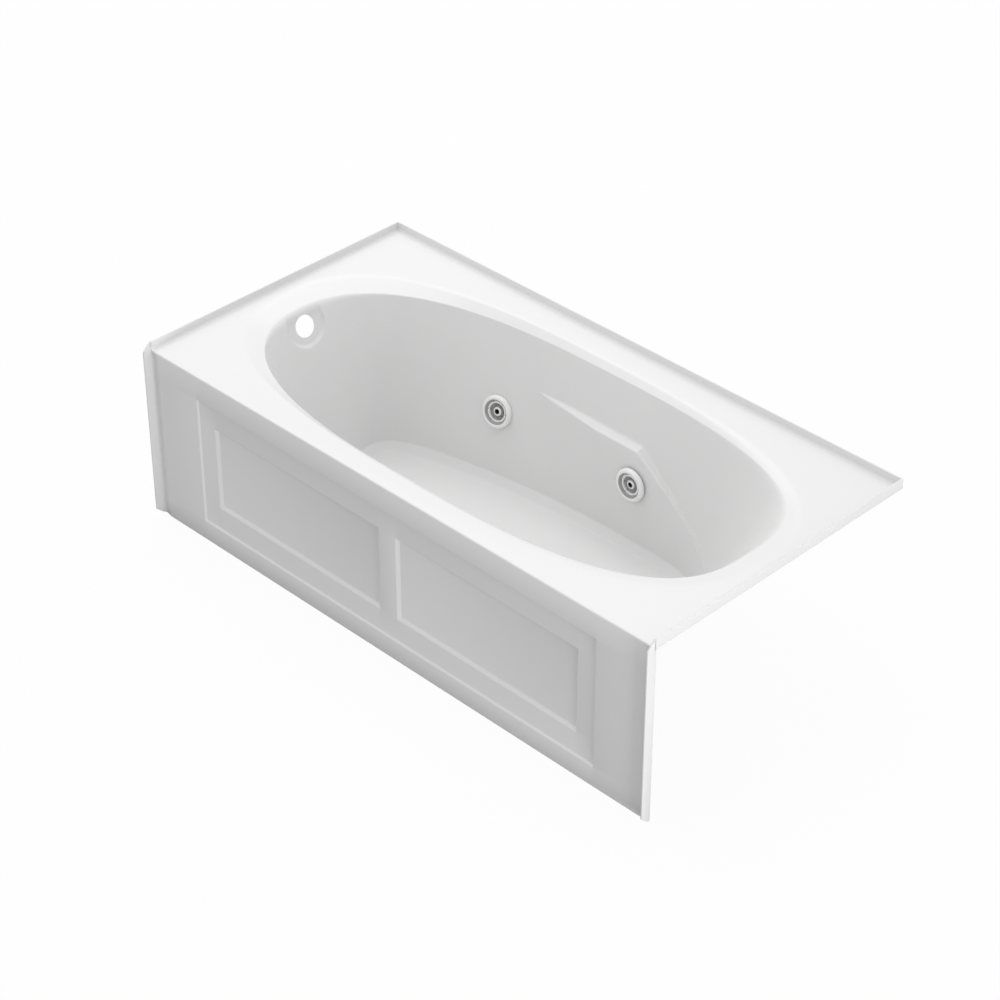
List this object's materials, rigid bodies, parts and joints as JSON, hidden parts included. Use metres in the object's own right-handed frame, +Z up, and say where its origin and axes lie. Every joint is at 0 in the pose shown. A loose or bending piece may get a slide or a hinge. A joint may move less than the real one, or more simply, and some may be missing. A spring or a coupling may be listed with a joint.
{
  "type": "alcove jetted bathtub",
  "caption": "Alcove jetted bathtub: oval basin with armrest ledges, panelled front apron, tile flange, swivelling wall jets, suction grille and a pump behind the apron.",
  "frame": {"origin": "on the floor below the middle of the tub's overall box", "axes": "+X from the drain end to the backrest end, +Y from the apron to the back wall, +Z up"},
  "size_m": [1.829, 0.941, 0.558],
  "materials": {
    "tub_acrylic": "gloss",
    "jet_trim": "gloss",
    "jet_nozzle": "gloss",
    "rubber": "matt",
    "coated_wood": "matt",
    "pump_plastic": "matt",
    "motor_casting": "cast",
    "motor_paint": "satin",
    "steel": "satin",
    "core_steel": "laminated",
    "white_pipe": "satin"
  },
  "bodies": {
    "tub": {"air_hoses": "rubber", "air_manifold": "white_pipe", "air_silencer": "pump_plastic", "bottom_board": "coated_wood", "cable_gland": "pump_plastic", "discharge_union_nut": "pump_plastic", "fan_cover": "pump_plastic", "front_apron": "tub_acrylic", "front_back_jet_body": "white_pipe", "front_deck_rail": "coated_wood", "front_drain_jet_body": "white_pipe", "front_supply_pipe": "white_pipe", "jet_flanges": "white_pipe", "jet_gaskets": "rubber", "jet_link_pipes": "white_pipe", "jet_seats": "white_pipe", "motor_bearings": "steel", "motor_front_bell": "motor_casting", "motor_housing": "motor_paint", "motor_rear_bell": "motor_casting", "port_plugs": "white_pipe", "pressure_tee": "white_pipe", "pump_bolts": "steel", "pump_pads": "rubber", "pump_saddle": "motor_paint", "pump_shelf": "coated_wood", "pump_volute": "pump_plastic", "rear_back_jet_body": "white_pipe", "rear_deck_rail": "coated_wood", "rear_drain_jet_body": "white_pipe", "rear_supply_pipe": "white_pipe", "saddle_screws": "steel", "seal_plate": "pump_plastic", "shaft_seal": "rubber", "shelf_feet": "pump_plastic", "stator": "core_steel", "suction_body": "white_pipe", "suction_cover": "jet_trim", "suction_flange": "white_pipe", "suction_gasket": "rubber", "suction_pipe": "white_pipe", "suction_screws": "steel", "suction_union_nut": "pump_plastic", "support_blocks": "coated_wood", "terminal_box": "pump_plastic", "terminal_box_cover": "pump_plastic", "tub_shell": "tub_acrylic"},
    "pump_rotor": {"pump_shaft": "steel", "rotor_core": "core_steel", "impeller": "pump_plastic", "cooling_fan": "pump_plastic"},
    "front_drain_jet_ring_turn": {"front_drain_jet_ring": "jet_trim"},
    "front_drain_jet_aim": {"front_drain_jet_nozzle": "jet_nozzle"},
    "front_back_jet_ring_turn": {"front_back_jet_ring": "jet_trim"},
    "front_back_jet_aim": {"front_back_jet_nozzle": "jet_nozzle"},
    "rear_drain_jet_ring_turn": {"rear_drain_jet_ring": "jet_trim"},
    "rear_drain_jet_aim": {"rear_drain_jet_nozzle": "jet_nozzle"},
    "rear_back_jet_ring_turn": {"rear_back_jet_ring": "jet_trim"},
    "rear_back_jet_aim": {"rear_back_jet_nozzle": "jet_nozzle"}
  },
  "joints": [
    {"name": "pump_rotor_spin", "type": "hinge", "parent": "tub", "child": "pump_rotor", "pos_m": [-0.7, -0.335, 0.145], "axis": [1, 0, 0], "continuous": true},
    {"name": "front_drain_jet_ring_turn", "type": "hinge", "parent": "tub", "child": "front_drain_jet_ring_turn", "pos_m": [-0.32442, -0.28313, 0.26813], "axis": [0.1449, 0.9598, 0.2403], "range_deg": [0, 170]},
    {"name": "front_drain_jet_nozzle_tilt", "type": "hinge", "parent": "front_drain_jet_ring_turn", "child": "front_drain_jet_aim", "pos_m": [-0.32616, -0.29464, 0.26525], "axis": [-0.9888, 0.1492, 0], "range_deg": [-15, 15]},
    {"name": "front_back_jet_ring_turn", "type": "hinge", "parent": "tub", "child": "front_back_jet_ring_turn", "pos_m": [0.1755, -0.2843, 0.26802], "axis": [-0.0119, 0.9982, 0.0586], "range_deg": [0, 170]},
    {"name": "front_back_jet_nozzle_tilt", "type": "hinge", "parent": "front_back_jet_ring_turn", "child": "front_back_jet_aim", "pos_m": [0.17564, -0.29628, 0.26732], "axis": [-0.9999, -0.012, 0], "range_deg": [-15, 15]},
    {"name": "rear_drain_jet_ring_turn", "type": "hinge", "parent": "tub", "child": "rear_drain_jet_ring_turn", "pos_m": [-0.32442, 0.28313, 0.26813], "axis": [0.1449, -0.9598, 0.2403], "range_deg": [0, 170]},
    {"name": "rear_drain_jet_nozzle_tilt", "type": "hinge", "parent": "rear_drain_jet_ring_turn", "child": "rear_drain_jet_aim", "pos_m": [-0.32616, 0.29464, 0.26525], "axis": [0.9888, 0.1492, 0], "range_deg": [-15, 15]},
    {"name": "rear_back_jet_ring_turn", "type": "hinge", "parent": "tub", "child": "rear_back_jet_ring_turn", "pos_m": [0.1755, 0.2843, 0.26802], "axis": [-0.0119, -0.9982, 0.0586], "range_deg": [0, 170]},
    {"name": "rear_back_jet_nozzle_tilt", "type": "hinge", "parent": "rear_back_jet_ring_turn", "child": "rear_back_jet_aim", "pos_m": [0.17564, 0.29628, 0.26732], "axis": [0.9999, -0.012, 0], "range_deg": [-15, 15]}
  ]
}
